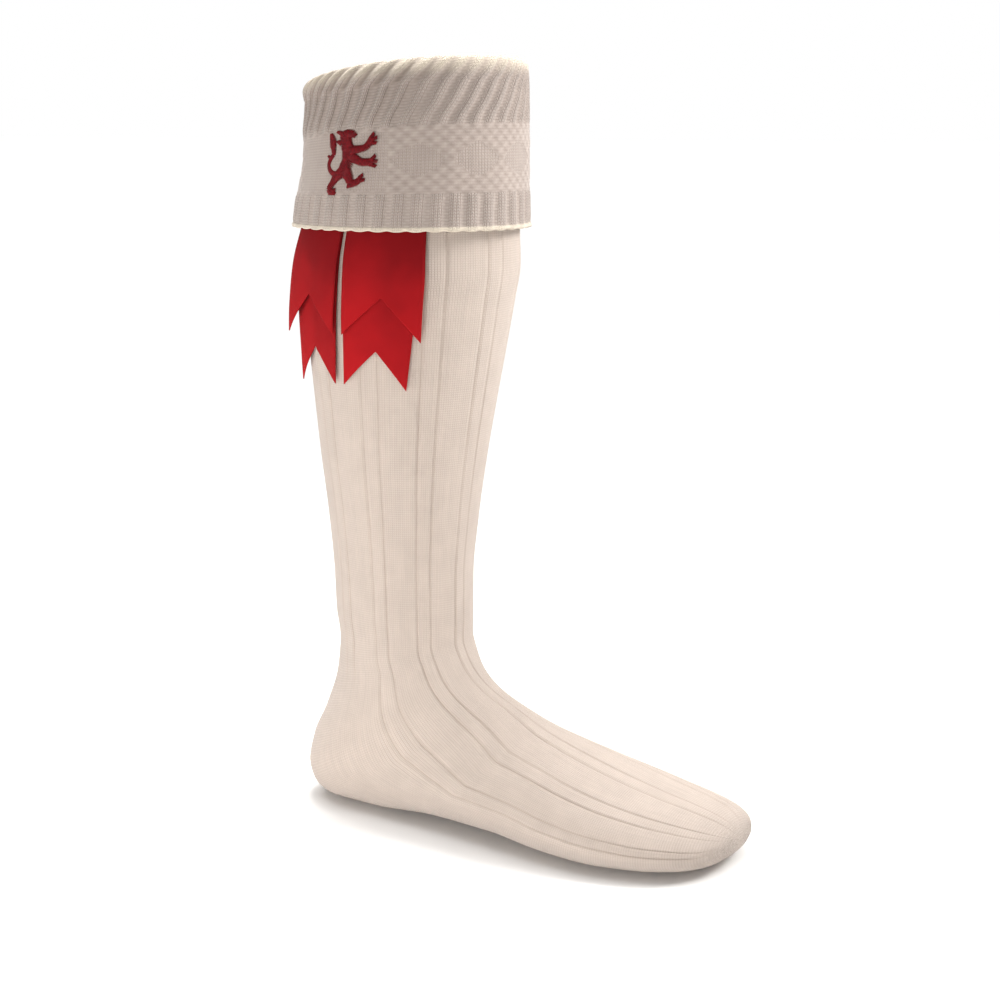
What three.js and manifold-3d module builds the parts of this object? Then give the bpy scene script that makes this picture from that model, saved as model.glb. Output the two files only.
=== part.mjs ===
// A kilt hose sock for a right leg, in the form that it has when worn: a knitted leg and foot, a ribbed cuff turned
// down over its top, an embroidered lion rampant on the cuff, and two pairs of ribbon flashes on a garter under it.
// Millimetres, +Z up. The origin is on the leg's axis at the sole, the toe points along -Y and the outer side is -X.
import * as THREE from "three";
import { mergeVertices } from "three/addons/utils/BufferGeometryUtils.js";
import Module from "manifold-3d";

const wasm = await Module();
wasm.setup();

// Leg and foot
const sockHeight = 420; // sole to the fold, at the shin
const calfDepth = 121.5; // front to back where the calf is fullest, outside the knit
const calfWidth = 113;
const ankleDepth = 82;
const ankleWidth = 66;
const ankleHeight = 115; // where the leg starts to turn into the foot
const legLean = 12; // how far the fold lies in front of the ankle
const footLength = 268;
const heelReach = 62; // leg's axis to the back of the heel
const ballWidth = 98;
const toeDrift = 11; // how far the big toe's side carries the tip inwards
const legWall = 2;

// Broad ribs of the leg: each repeat is a wide panel and a narrow one, with a groove on both sides of the narrow one
const legRibs = 10;
const legRibTurn = 4; // degrees from the shin to the first groove
const narrowPanel = 11; // degrees
const legGrooveWidth = 3; // degrees from a groove's bottom to its shoulder
const legGrooveDepth = 0.9;

// Turned-down cuff
const topRibDepth = 34.5;
const bandDepth = 35;
const hemRibDepth = 19.5;
const cuffDrop = topRibDepth + bandDepth + hemRibDepth;
const backDip = 14; // how much lower the fold is at the back of the leg
const cuffWall = 2.6;
const cuffRoom = 3.2; // between the leg's skin and the inside of the cuff
const cuffRibs = 40;
const cuffGrooveDepth = 1.1;
const bandInset = 0.9; // how far the patterned band lies inside the ribs
const ribTwist = 15; // degrees that the upper ribs lean towards the shin
const hemFlare = 0.6;
const returnDepth = 14; // fold to the seam inside, where the leg's knit ends

// Garter and flashes
const clearance = 0.3; // between pieces that touch
const garterWidth = 22;
const garterWall = 2;
const garterRise = 8; // hem to the garter's lower edge
const ribbonWall = 1;
const flashDrop = 84; // hem to the longer ribbons' tips

// Embroidered lion
const motifHeight = 32.5;
const motifTurn = 91; // degrees from the shin, round the outer side
const motifWall = 0.8;
const motifLift = 0.55; // band to the thread's underside: a wide stroke is flat and the band is curved

const colours = {
  legKnit: 0xe3d3c1,
  cuffKnit: 0xd9ccbc,
  elastic: 0xe9e4da,
  ribbon: 0xb3202a,
  thread: 0x8a1420,
};

// The leg by height: height is a share of sockHeight, fullness goes from the ankle's girth at 0 to the calf's at 1,
// and lean is a share of legLean.
const legRows = [
  { height: 1.0, fullness: 0.72, lean: 1.0 },
  { height: 0.872, fullness: 0.83, lean: 0.85 },
  { height: 0.793, fullness: 0.94, lean: 0.62 },
  { height: 0.743, fullness: 1.0, lean: 0.55 },
  { height: 0.69, fullness: 0.9, lean: 0.43 },
  { height: 0.631, fullness: 0.745, lean: 0.32 },
  { height: 0.571, fullness: 0.585, lean: 0.2 },
  { height: 0.49, fullness: 0.37, lean: 0.06 },
  { height: 0.41, fullness: 0.165, lean: 0.0 },
  { height: 0.326, fullness: 0.02, lean: -0.03 },
  { height: 0.274, fullness: 0.0, lean: 0.0 },
];

// The turn at the ankle, the heel and the foot. Each row is a flat section from a point on the instep to a point on
// the heel or sole. at is 1 at the tip of the toe and -1 at the back of the heel, up is a share of ankleHeight, width
// of ballWidth and drift of toeDrift. widest is where the section is widest, from 0 at the sole to 1 at the instep,
// square rounds (2) or squares (above 2) its lower half, and plain is how far the heel or sole has lost the ribs: 1
// unless a row says less.
const footRows = [
  { topAt: 0.197, topUp: 0.9, backAt: -0.62, backUp: 0.85, width: 0.673, widest: 0.5, square: 2, plain: 0 },
  { topAt: 0.211, topUp: 0.82, backAt: -0.66, backUp: 0.68, width: 0.675, widest: 0.5, square: 2, plain: 0.4 },
  { topAt: 0.232, topUp: 0.755, backAt: -0.79, backUp: 0.48, width: 0.69, widest: 0.46, square: 2 },
  { topAt: 0.258, topUp: 0.705, backAt: -0.94, backUp: 0.3, width: 0.71, widest: 0.42, square: 2.1 },
  { topAt: 0.284, topUp: 0.67, backAt: -0.99, backUp: 0.155, width: 0.72, widest: 0.4, square: 2.2 },
  { topAt: 0.313, topUp: 0.64, backAt: -0.88, backUp: 0.04, width: 0.715, widest: 0.38, square: 2.4 },
  { topAt: 0.347, topUp: 0.61, backAt: -0.62, backUp: 0, width: 0.715, widest: 0.36, square: 2.6 },
  { topAt: 0.386, topUp: 0.575, backAt: -0.15, backUp: 0, width: 0.73, widest: 0.36, square: 2.8 },
  { topAt: 0.45, topUp: 0.52, backAt: 0.16, backUp: 0.03, width: 0.79, widest: 0.36, square: 2.8 },
  { topAt: 0.526, topUp: 0.468, backAt: 0.36, backUp: 0.035, width: 0.88, widest: 0.36, square: 3, drift: 0.02 },
  { topAt: 0.612, topUp: 0.417, backAt: 0.524, backUp: 0.01, width: 0.965, widest: 0.36, square: 3, drift: 0.08 },
  { topAt: 0.704, topUp: 0.366, backAt: 0.668, backUp: 0, width: 1, widest: 0.37, square: 3, drift: 0.18 },
  { topAt: 0.8, topUp: 0.314, backAt: 0.79, backUp: 0, width: 0.955, widest: 0.39, square: 2.8, drift: 0.38 },
  { topAt: 0.888, topUp: 0.268, backAt: 0.893, backUp: 0.01, width: 0.845, widest: 0.42, square: 2.6, drift: 0.62 },
  { topAt: 0.95, topUp: 0.224, backAt: 0.956, backUp: 0.028, width: 0.67, widest: 0.45, square: 2.3, drift: 0.82 },
  { topAt: 0.984, topUp: 0.178, backAt: 0.987, backUp: 0.062, width: 0.42, widest: 0.5, square: 2.1, drift: 0.95 },
];
const toeTipUp = 0.12; // share of ankleHeight
const rimRows = 1; // leg rows above the seam, which the cuff's own knit stands for

// The outside of the cuff from inside the fold to the hem: drop is a share of its zone, out a share of the way from
// the leg's skin to the outside of the ribs, rib of cuffGrooveDepth, and twist of ribTwist.
const cuffRows = [
  { zone: "top", drop: 0.06, out: -0.42, rib: 0, twist: 1.0 },
  { zone: "top", drop: 0.0, out: 0.15, rib: 0.3, twist: 0.98 },
  { zone: "top", drop: 0.045, out: 0.68, rib: 0.7, twist: 0.93 },
  { zone: "top", drop: 0.17, out: 0.92, rib: 1, twist: 0.85 },
  { zone: "top", drop: 0.52, out: 1.0, rib: 1, twist: 0.42 },
  { zone: "top", drop: 0.97, out: 1.0, rib: 0.9, twist: 0.02 },
  { zone: "band", drop: 0.03, out: 1.0, rib: 0, twist: 0 },
  { zone: "band", drop: 0.97, out: 1.0, rib: 0, twist: 0 },
  { zone: "hem", drop: 0.04, out: 1.02, rib: 0.9, twist: 0 },
  { zone: "hem", drop: 0.88, out: 1.04, rib: 1, twist: 0 },
  { zone: "hem", drop: 1.0, out: 0.86, rib: 0.5, twist: 0 },
];
const cuffZones = {
  top: { start: 0, depth: topRibDepth, inset: 0 },
  band: { start: topRibDepth, depth: bandDepth, inset: bandInset },
  hem: { start: topRibDepth + bandDepth, depth: hemRibDepth, inset: 0 },
};

// The ribbons: angles are degrees from the shin round the outer side, at the garter and at the two tips. Drops are
// shares of flashDrop, and lifts are millimetres from the leg to the ribbon's back at each tip.
const ribbonRows = [
  { name: "flash_front_under", layer: 0, topFront: 51, topRear: 92, tipFront: 59, tipRear: 97,
    dropFront: 1.0, dropRear: 0.975, notch: 0.75, liftFront: 1.6, liftRear: 1.6 },
  { name: "flash_front_over", layer: 1, topFront: 51, topRear: 92, tipFront: 52, tipRear: 95,
    dropFront: 0.69, dropRear: 0.65, notch: 0.41, liftFront: 3.2, liftRear: 3.2 },
  { name: "flash_rear_under", layer: 0, topFront: 95, topRear: 136, tipFront: 103, tipRear: 144,
    dropFront: 0.975, dropRear: 1.0, notch: 0.75, liftFront: 1.9, liftRear: 4.8 },
  { name: "flash_rear_over", layer: 1, topFront: 95, topRear: 136, tipFront: 100, tipRear: 145,
    dropFront: 0.65, dropRear: 0.68, notch: 0.41, liftFront: 4.0, liftRear: 9.5 },
];

// The lion as strokes of thread. Each has columns of places along it: x towards the shin and y upwards from the lion's
// middle, and w the stroke's width, all in shares of motifHeight.
const lionStrokes = [
  { part: "body", x: [-0.15, -0.12, -0.08, -0.08, -0.13, -0.17], y: [0.4, 0.28, 0.16, 0.04, -0.08, -0.18],
    w: [0.24, 0.24, 0.26, 0.25, 0.25, 0.24] },
  { part: "head", x: [-0.2, -0.08, 0, 0.06], y: [0.43, 0.445, 0.43, 0.4], w: [0.13, 0.15, 0.12, 0.06] },
  { part: "crest", x: [-0.18, -0.26, -0.33], y: [0.43, 0.47, 0.49], w: [0.1, 0.06, 0.03] },
  { part: "mane", x: [-0.22, -0.28, -0.32], y: [0.3, 0.33, 0.335], w: [0.09, 0.06, 0.03] },
  { part: "upper foreleg", x: [-0.02, 0.12, 0.23, 0.31, 0.36], y: [0.18, 0.195, 0.21, 0.27, 0.34],
    w: [0.15, 0.11, 0.1, 0.11, 0.11] },
  { part: "claw", x: [0.34, 0.4], y: [0.34, 0.43], w: [0.07, 0.04] },
  { part: "claw", x: [0.34, 0.46], y: [0.32, 0.36], w: [0.07, 0.04] },
  { part: "claw", x: [0.32, 0.45], y: [0.28, 0.275], w: [0.07, 0.04] },
  { part: "lower foreleg", x: [-0.02, 0.1, 0.22, 0.34, 0.4], y: [0.09, 0.03, -0.01, -0.01, 0],
    w: [0.17, 0.13, 0.11, 0.11, 0.11] },
  { part: "claw", x: [0.38, 0.44], y: [0.02, 0.09], w: [0.07, 0.04] },
  { part: "claw", x: [0.39, 0.48], y: [0, 0], w: [0.07, 0.04] },
  { part: "claw", x: [0.36, 0.46], y: [-0.04, -0.08], w: [0.07, 0.04] },
  { part: "near thigh", x: [-0.12, -0.04, 0], y: [-0.14, -0.23, -0.32], w: [0.22, 0.18, 0.13] },
  { part: "near hind leg", x: [-0.02, 0.09, 0.19], y: [-0.34, -0.33, -0.28], w: [0.13, 0.11, 0.1] },
  { part: "claw", x: [0.17, 0.24], y: [-0.26, -0.2], w: [0.07, 0.04] },
  { part: "claw", x: [0.18, 0.28], y: [-0.29, -0.28], w: [0.07, 0.04] },
  { part: "far thigh", x: [-0.2, -0.31, -0.37], y: [-0.15, -0.23, -0.32], w: [0.2, 0.16, 0.12] },
  { part: "far hind leg", x: [-0.37, -0.43, -0.4], y: [-0.32, -0.41, -0.46], w: [0.12, 0.1, 0.09] },
  { part: "claw", x: [-0.4, -0.28], y: [-0.45, -0.43], w: [0.08, 0.04] },
  { part: "claw", x: [-0.4, -0.27], y: [-0.47, -0.49], w: [0.07, 0.04] },
  { part: "tail's root", x: [-0.24, -0.35, -0.45, -0.49, -0.45, -0.39],
    y: [-0.18, -0.17, -0.11, -0.02, 0.07, 0.14], w: [0.08, 0.07, 0.06, 0.06, 0.06, 0.06] },
  { part: "tail", x: [-0.39, -0.4, -0.43, -0.44, -0.48], y: [0.14, 0.22, 0.3, 0.38, 0.47],
    w: [0.06, 0.09, 0.13, 0.12, 0.04] },
  { part: "tail's tuft", x: [-0.41, -0.36], y: [0.3, 0.36], w: [0.07, 0.03] },
  { part: "tail's tuft", x: [-0.45, -0.52], y: [0.08, 0.12], w: [0.06, 0.03] },
];

const radians = THREE.MathUtils.degToRad;
const lerp = THREE.MathUtils.lerp;
const toeReach = footLength - heelReach;
const cuffStand = cuffRoom + cuffWall; // leg's skin to the outside of the cuff's ribs
const hemHeight = sockHeight - cuffDrop;

// The value of a column at a height, along straight lines between the leg's rows.
function legColumn(column, z) {
  const height = z / sockHeight;
  const last = legRows.length - 1;
  let i = legRows.findIndex((row) => row.height <= height);
  i = i < 0 ? last : Math.max(i, 1);
  const upper = legRows[i - 1];
  const lower = legRows[i];
  return lerp(lower[column], upper[column], (height - lower.height) / (upper.height - lower.height));
}

// A level section of the leg.
function legSection(z) {
  const fullness = legColumn("fullness", z);
  const depth = lerp(ankleDepth, calfDepth, fullness);
  const centreY = -legLean * legColumn("lean", z);
  return {
    top: new THREE.Vector2(centreY - depth / 2, z),
    back: new THREE.Vector2(centreY + depth / 2, z),
    width: lerp(ankleWidth, calfWidth, fullness),
    x: 0,
    widest: 0.5,
    square: 2,
    plain: 0,
  };
}

// A place along the foot, from 1 at the toe to -1 at the heel.
function alongFoot(share) {
  return share > 0 ? -share * toeReach : -share * heelReach;
}

function footSection(row) {
  return {
    top: new THREE.Vector2(alongFoot(row.topAt), row.topUp * ankleHeight),
    back: new THREE.Vector2(alongFoot(row.backAt), row.backUp * ankleHeight),
    width: row.width * ballWidth,
    x: (row.drift ?? 0) * toeDrift,
    widest: row.widest,
    square: row.square,
    plain: row.plain ?? 1,
  };
}

// The point of a section at an angle from the shin, moved out by offset in the section's plane.
function sectionPoint(section, turn, offset) {
  const axis = section.top.clone().sub(section.back);
  const length = axis.length();
  axis.normalize();
  const c = Math.cos(turn);
  const s = Math.sin(turn);
  const power = 2 / (c < 0 ? section.square : 2);
  const reach = (c < 0 ? section.widest : 1 - section.widest) * length + offset;
  const across = (section.width / 2 + offset) * Math.sign(s) * Math.abs(s) ** power;
  const along = section.widest * length + reach * Math.sign(c) * Math.abs(c) ** power;
  const place = section.back.clone().addScaledVector(axis, along);
  return new THREE.Vector3(section.x - across, place.x, place.y);
}

function legPoint(z, turn, offset) {
  return sectionPoint(legSection(z), turn, offset);
}

// Height of the fold, which dips towards the back of the leg.
function foldHeight(turn) {
  return sockHeight - backDip * ((1 - Math.cos(turn)) / 2) ** 1.5;
}

// Height of a line of the cuff that lies depth below the fold, with a level hem.
function cuffHeight(turn, depth) {
  return lerp(foldHeight(turn), hemHeight, depth / cuffDrop);
}

function cuffPoint(turn, depth, offset) {
  return legPoint(cuffHeight(turn, depth), turn, offset);
}

// A closed mesh from rings of points. Open ends are closed by a fan, and a band's last ring meets its first.
function loft(rings, band = false) {
  const count = rings[0].length;
  const points = rings.flat();
  const index = [];
  const last = band ? rings.length : rings.length - 1;
  for (let i = 0; i < last; i++) {
    const upper = i * count;
    const lower = ((i + 1) % rings.length) * count;
    for (let j = 0; j < count; j++) {
      const next = (j + 1) % count;
      index.push(upper + j, lower + next, lower + j, upper + j, upper + next, lower + next);
    }
  }
  if (!band) {
    for (const [ring, start, flip] of [[rings[0], 0, true], [rings.at(-1), (rings.length - 1) * count, false]]) {
      const middle = ring.reduce((sum, p) => sum.add(p), new THREE.Vector3()).divideScalar(count);
      const centre = points.push(middle) - 1;
      for (let j = 0; j < count; j++) {
        const pair = [start + j, start + ((j + 1) % count)];
        index.push(centre, ...(flip ? pair.reverse() : pair));
      }
    }
  }
  const geometry = new THREE.BufferGeometry().setFromPoints(points);
  geometry.setIndex(index);
  return geometry;
}

function toSolid(geometry) {
  const merged = mergeVertices(geometry, 1e-4);
  return new wasm.Manifold(
    new wasm.Mesh({
      numProp: 3,
      vertProperties: new Float32Array(merged.attributes.position.array),
      triVerts: new Uint32Array(merged.index.array),
    }),
  );
}

function toGeometry(solid) {
  const mesh = solid.getMesh();
  const geometry = new THREE.BufferGeometry();
  geometry.setAttribute("position", new THREE.BufferAttribute(new Float32Array(mesh.vertProperties), 3));
  geometry.setIndex(new THREE.BufferAttribute(new Uint32Array(mesh.triVerts), 1));
  geometry.computeVertexNormals();
  return geometry;
}

// Evenly spaced angles round a section.
function evenTurns(count) {
  return Array.from({ length: count }, (_, i) => (2 * Math.PI * i) / count);
}

// Angles of the leg's ribs, and how deep the knit lies at each, from 0 on a panel to 1 in a groove.
function legRibPoints() {
  const repeat = 360 / legRibs;
  const wideStart = narrowPanel + legGrooveWidth;
  const wideEnd = repeat - legGrooveWidth;
  const pattern = [
    { at: 0, deep: 1 },
    { at: narrowPanel / 2, deep: 0 },
    { at: narrowPanel, deep: 1 },
    { at: wideStart, deep: 0 },
    { at: (wideStart + wideEnd) / 2, deep: 0 },
    { at: wideEnd, deep: 0 },
  ];
  return Array.from({ length: legRibs }, (_, i) =>
    pattern.map((p) => ({ turn: radians(legRibTurn + i * repeat + p.at), deep: p.deep })),
  ).flat();
}

// The heel and the sole are plain: there the ribs fade out behind the sides of the foot.
function ribShare(section, turn) {
  const behind = (1 - Math.cos(turn)) / 2;
  return 1 - section.plain * THREE.MathUtils.smoothstep(behind, 0.45, 0.62);
}

// Moves the instep's and the sole's lines, and the sides, in by a wall.
function insetSections(sections, wall) {
  const shifted = (line, i, side) => {
    const before = sections[Math.max(i - 1, 0)][line];
    const after = sections[Math.min(i + 1, sections.length - 1)][line];
    const tangent = after.clone().sub(before).normalize();
    const inward = new THREE.Vector2(-tangent.y, tangent.x).multiplyScalar(side);
    return sections[i][line].clone().addScaledVector(inward, wall);
  };
  return sections.map((section, i) => ({
    ...section,
    top: shifted("top", i, 1),
    back: shifted("back", i, -1),
    width: section.width - 2 * wall,
  }));
}

function legAndFoot() {
  const ribs = legRibPoints();
  const legLevels = legRows.slice(rimRows).map((row) => row.height * sockHeight);
  const sections = [...legLevels.map(legSection), ...footRows.map(footSection)];
  const rim = ribs.map((r) => cuffPoint(r.turn, returnDepth + clearance, -legGrooveDepth * r.deep));
  const tip = new THREE.Vector3(toeDrift, -toeReach, toeTipUp * ankleHeight);
  const skin = sections.map((section) =>
    ribs.map((r) => sectionPoint(section, r.turn, -legGrooveDepth * r.deep * ribShare(section, r.turn))),
  );
  const toe = ribs.map((r) => sectionPoint(sections.at(-1), r.turn, 0).lerp(tip, 0.7));
  const outside = toSolid(loft([rim, ...skin, toe]));

  const turns = evenTurns(32);
  const inner = insetSections(sections, legWall + legGrooveDepth);
  const mouth = turns.map((t) => legPoint(sockHeight + legWall, t, -legWall - legGrooveDepth));
  const inside = toSolid(loft([mouth, ...inner.map((section) => turns.map((t) => sectionPoint(section, t, 0)))]));
  return toGeometry(outside.subtract(inside));
}

// Three points a rib: both edges of its ridge, and the groove.
function cuffRibPoints() {
  const repeat = (2 * Math.PI) / cuffRibs;
  const pattern = [
    { at: 0, deep: 0 },
    { at: 0.5, deep: 0 },
    { at: 0.75, deep: 1 },
  ];
  return Array.from({ length: cuffRibs }, (_, i) =>
    pattern.map((p) => ({ turn: (i + p.at) * repeat, deep: p.deep })),
  ).flat();
}

// How far the cuff stands out from its own line, from nothing under the top ribs to hemFlare at the hem.
function flareAt(depth) {
  return hemFlare * THREE.MathUtils.clamp((depth - topRibDepth) / (cuffDrop - topRibDepth), 0, 1);
}

function turnoverCuff() {
  const ribs = cuffRibPoints();
  const outer = cuffRows.map((row) => {
    const zone = cuffZones[row.zone];
    const depth = zone.start + row.drop * zone.depth;
    const base = row.out * cuffStand - zone.inset + flareAt(depth);
    return ribs.map((r) =>
      cuffPoint(r.turn - radians(ribTwist) * row.twist, depth, base - cuffGrooveDepth * r.deep * row.rib),
    );
  });
  const body = toSolid(loft(outer));

  const turns = evenTurns(40);
  const level = (depth, offset) => turns.map((t) => cuffPoint(t, depth, offset));
  const beyond = cuffDrop + cuffWall;
  const core = toSolid(loft([level(-cuffWall, -legWall), level(cuffDrop / 2, -legWall), level(beyond, -legWall)]));
  const neck = toSolid(loft([level(-cuffWall, 0), level(returnDepth / 2, 0), level(returnDepth, 0)]));
  const pocket = toSolid(
    loft([
      level(cuffWall * 1.6, cuffRoom * 0.6),
      level(cuffWall * 2.6, cuffRoom),
      level(topRibDepth, cuffRoom - bandInset / 2),
      level(topRibDepth + bandDepth, cuffRoom - bandInset / 2 + flareAt(topRibDepth + bandDepth)),
      level(cuffDrop - hemRibDepth / 2, cuffRoom + flareAt(cuffDrop - hemRibDepth / 2)),
      level(beyond, cuffRoom + hemFlare),
    ]),
  );
  return toGeometry(body.subtract(core).subtract(pocket.subtract(neck)));
}

const garterFoot = hemHeight + garterRise;

function garterBand() {
  const turns = evenTurns(40);
  const level = (z, offset) => turns.map((t) => legPoint(z, t, offset));
  const inside = clearance;
  const outside = clearance + garterWall;
  return loft(
    [
      level(garterFoot + garterWidth, inside),
      level(garterFoot + garterWidth, outside),
      level(garterFoot, outside),
      level(garterFoot, inside),
    ],
    true,
  );
}

// A ribbon hangs from under the garter's lower edge, lies in the cuff's pocket, and ends in two points with a notch.
// Its straight part has a level at each of the leg's own heights, so that it follows the leg between them.
function flashRibbon(row) {
  const columns = 6;
  const tailLevels = 2;
  const topZ = garterFoot - clearance;
  const forkZ = hemHeight - (row.notch - 0.03) * flashDrop;
  const bends = legRows.map((r) => r.height * sockHeight).filter((z) => z < topZ && z > forkZ);
  const straight = [topZ, ...bends, forkZ];
  const seat = clearance + row.layer * (ribbonWall + clearance);
  const face = (lift) =>
    Array.from({ length: columns + 1 }, (_, i) => {
      const across = i / columns; // 0 at the front edge, 1 at the rear
      const drop = across < 0.5
        ? lerp(row.dropFront, row.notch, across * 2)
        : lerp(row.notch, row.dropRear, across * 2 - 1);
      const bottomZ = hemHeight - drop * flashDrop;
      const tail = Array.from({ length: tailLevels }, (_, k) => lerp(forkZ, bottomZ, (k + 1) / tailLevels));
      return [...straight, ...tail].map((z) => {
        const down = THREE.MathUtils.clamp((hemHeight - z) / flashDrop, 0, 1) / Math.max(row.dropFront, row.dropRear);
        const turn = lerp(lerp(row.topFront, row.topRear, across), lerp(row.tipFront, row.tipRear, across), down);
        const stand = lerp(seat, lerp(row.liftFront, row.liftRear, across), down);
        return legPoint(z, radians(turn), stand + lift);
      });
    });
  const inner = face(0);
  const outer = face(ribbonWall);
  // Each ring goes round the ribbon's width at one level.
  const rings = outer[0].map((_, k) => [
    ...outer.map((column) => column[k]),
    ...inner.map((column) => column[k]).reverse(),
  ]);
  return ribbonSolid(rings, columns);
}

// Closes a ribbon's rings with strips across its thickness at both ends, so that a notched end stays sharp.
function ribbonSolid(rings, columns) {
  const count = rings[0].length;
  const points = rings.flat();
  const index = [];
  for (let i = 0; i + 1 < rings.length; i++) {
    for (let j = 0; j < count; j++) {
      const next = (j + 1) % count;
      const [a, b, c, d] = [i * count + j, (i + 1) * count + j, (i + 1) * count + next, i * count + next];
      index.push(a, c, b, a, d, c);
    }
  }
  for (const [start, flip] of [[0, true], [(rings.length - 1) * count, false]]) {
    for (let j = 0; j < columns; j++) {
      const [a, b, c, d] = [start + j, start + j + 1, start + count - 2 - j, start + count - 1 - j];
      index.push(...(flip ? [a, c, b, a, d, c] : [a, b, c, a, c, d]));
    }
  }
  const geometry = new THREE.BufferGeometry().setFromPoints(points);
  geometry.setIndex(index);
  return geometry;
}

// A point of the embroidery: shares of motifHeight from its middle, and a height above the band.
function motifPoint(x, y, lift) {
  const middle = radians(motifTurn);
  const stretch = cuffDrop / (foldHeight(middle) - hemHeight);
  const depth = topRibDepth + bandDepth / 2 - y * motifHeight * stretch;
  const stand = cuffStand - bandInset + flareAt(depth) + lift;
  const radius = (calfDepth + calfWidth) / 4 + stand;
  return cuffPoint(middle - (x * motifHeight) / radius, depth, stand);
}

// One stroke: a flat band along its places.
function strokeSolid(stroke) {
  const last = stroke.x.length - 1;
  const rings = stroke.x.map((x, i) => {
    const [before, after] = [Math.max(i - 1, 0), Math.min(i + 1, last)];
    const [dx, dy] = [stroke.x[after] - stroke.x[before], stroke.y[after] - stroke.y[before]];
    const side = new THREE.Vector2(-dy, dx).normalize().multiplyScalar(stroke.w[i] / 2);
    const corner = (sign, lift) => motifPoint(x + sign * side.x, stroke.y[i] + sign * side.y, lift);
    const [low, high] = [motifLift, motifLift + motifWall];
    return [corner(1, low), corner(1, high), corner(-1, high), corner(-1, low)];
  });
  return toSolid(loft(rings));
}

function lionMotif() {
  const solids = lionStrokes.map(strokeSolid);
  return toGeometry(solids.reduce((joined, solid) => joined.add(solid)));
}

function material(color, roughness) {
  return new THREE.MeshStandardMaterial({ color, roughness, metalness: 0 });
}

function addMesh(group, name, geometry, finish) {
  const mesh = new THREE.Mesh(geometry, finish);
  mesh.name = name;
  group.add(mesh);
}

const sock = new THREE.Group();
const ribbonFinish = material(colours.ribbon, 0.7);
addMesh(sock, "leg_and_foot", legAndFoot(), material(colours.legKnit, 0.95));
addMesh(sock, "turnover_cuff", turnoverCuff(), material(colours.cuffKnit, 0.95));
addMesh(sock, "garter_band", garterBand(), material(colours.elastic, 0.85));
for (const row of ribbonRows) {
  addMesh(sock, row.name, flashRibbon(row), ribbonFinish);
}
addMesh(sock, "lion_motif", lionMotif(), material(colours.thread, 0.6));

export default sock;
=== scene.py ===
import bpy
import math
import numpy as np
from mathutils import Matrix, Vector


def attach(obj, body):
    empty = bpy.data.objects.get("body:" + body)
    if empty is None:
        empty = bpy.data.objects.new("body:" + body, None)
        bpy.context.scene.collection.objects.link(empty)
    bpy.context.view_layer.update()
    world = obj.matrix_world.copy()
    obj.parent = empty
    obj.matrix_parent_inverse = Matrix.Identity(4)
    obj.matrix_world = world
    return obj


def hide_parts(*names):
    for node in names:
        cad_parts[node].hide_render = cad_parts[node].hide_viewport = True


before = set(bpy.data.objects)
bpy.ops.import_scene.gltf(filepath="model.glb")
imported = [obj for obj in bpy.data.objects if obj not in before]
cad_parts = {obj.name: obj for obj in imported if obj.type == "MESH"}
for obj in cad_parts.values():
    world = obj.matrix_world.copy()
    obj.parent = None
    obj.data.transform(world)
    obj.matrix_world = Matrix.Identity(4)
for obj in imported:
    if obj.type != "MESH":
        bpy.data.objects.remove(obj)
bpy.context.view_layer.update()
bpy.context.scene.view_settings.view_transform = "Standard"
print("frame loaded")

# the camera stands at the photograph's angle, about a metre from the leg and level with the cuff
camera = {
    "place": (-0.8374, -0.5665, 0.385),
    "azimuth": 59.0,  # degrees that its view turns from straight back towards the inner side
    "tiltDown": 11.6,
    "lens": 65.9,
    "sensor": 36,
    "farthest": 100,
}
view = bpy.data.objects.new("camera", bpy.data.cameras.new("camera"))
bpy.context.collection.objects.link(view)
view.data.lens = camera["lens"]
view.data.sensor_width = camera["sensor"]
view.data.clip_end = camera["farthest"]
turnAway = math.radians(camera["azimuth"])
tiltDown = math.radians(camera["tiltDown"])
level = math.cos(tiltDown)
lookTo = Vector((math.sin(turnAway) * level, math.cos(turnAway) * level, -math.sin(tiltDown)))
view.location = camera["place"]
view.rotation_euler = lookTo.to_track_quat("-Z", "Y").to_euler()
bpy.context.scene.camera = view

# soft studio light: a pale room, a wide light from above, and small round ones beside and over the sock
studio = {
    "roomLight": 0.44,
    "roomSeen": 1.0,  # the backdrop is a clean white in the picture
    "overhead": {"comesFrom": (0.22, 0.06, 0.95), "spread": 80, "power": 2.25},
    # name, place, what it points at, metres across, watts, degrees of spread
    "lamps": [
        ("sideToe", (0.5, -0.85, 0.95), (0, -0.02, 0.36), 0.5, 2.6, 70),
        ("sideHeel", (-0.8, 0.6, 0.06), (0, 0.02, 0.06), 0.5, 2.9, 180),
        ("rimLight", (0.14, 0.1, 0.95), (0, 0, 0.42), 0.3, 4.8, 180),
        ("lowFront", (-0.62, -0.1, 0.03), (0, -0.02, 0), 0.35, 0.6, 80),
    ],
}


def linearColour(code):
    # an sRGB hex colour as the linear values that Blender takes
    parts = [int(code[start : start + 2], 16) / 255 for start in (1, 3, 5)]
    linear = [part / 12.92 if part <= 0.04045 else ((part + 0.055) / 1.055) ** 2.4 for part in parts]
    return (*linear, 1.0)


def addNode(material, kind, settings=None, links=None):
    # settings are options of the node or values of its sockets, and links feed its sockets from outputs,
    # or from the first output of a node
    node = material.node_tree.nodes.new("ShaderNode" + kind)
    for key, value in (settings or {}).items():
        if isinstance(key, str) and hasattr(node, key):
            setattr(node, key, value)
        else:
            node.inputs[key].default_value = value
    for key, source in (links or {}).items():
        output = source.outputs[0] if isinstance(source, bpy.types.Node) else source
        material.node_tree.links.new(output, node.inputs[key])
    return node


def startMaterial(name):
    material = bpy.data.materials.new(name)
    material.use_nodes = True
    return material


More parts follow.
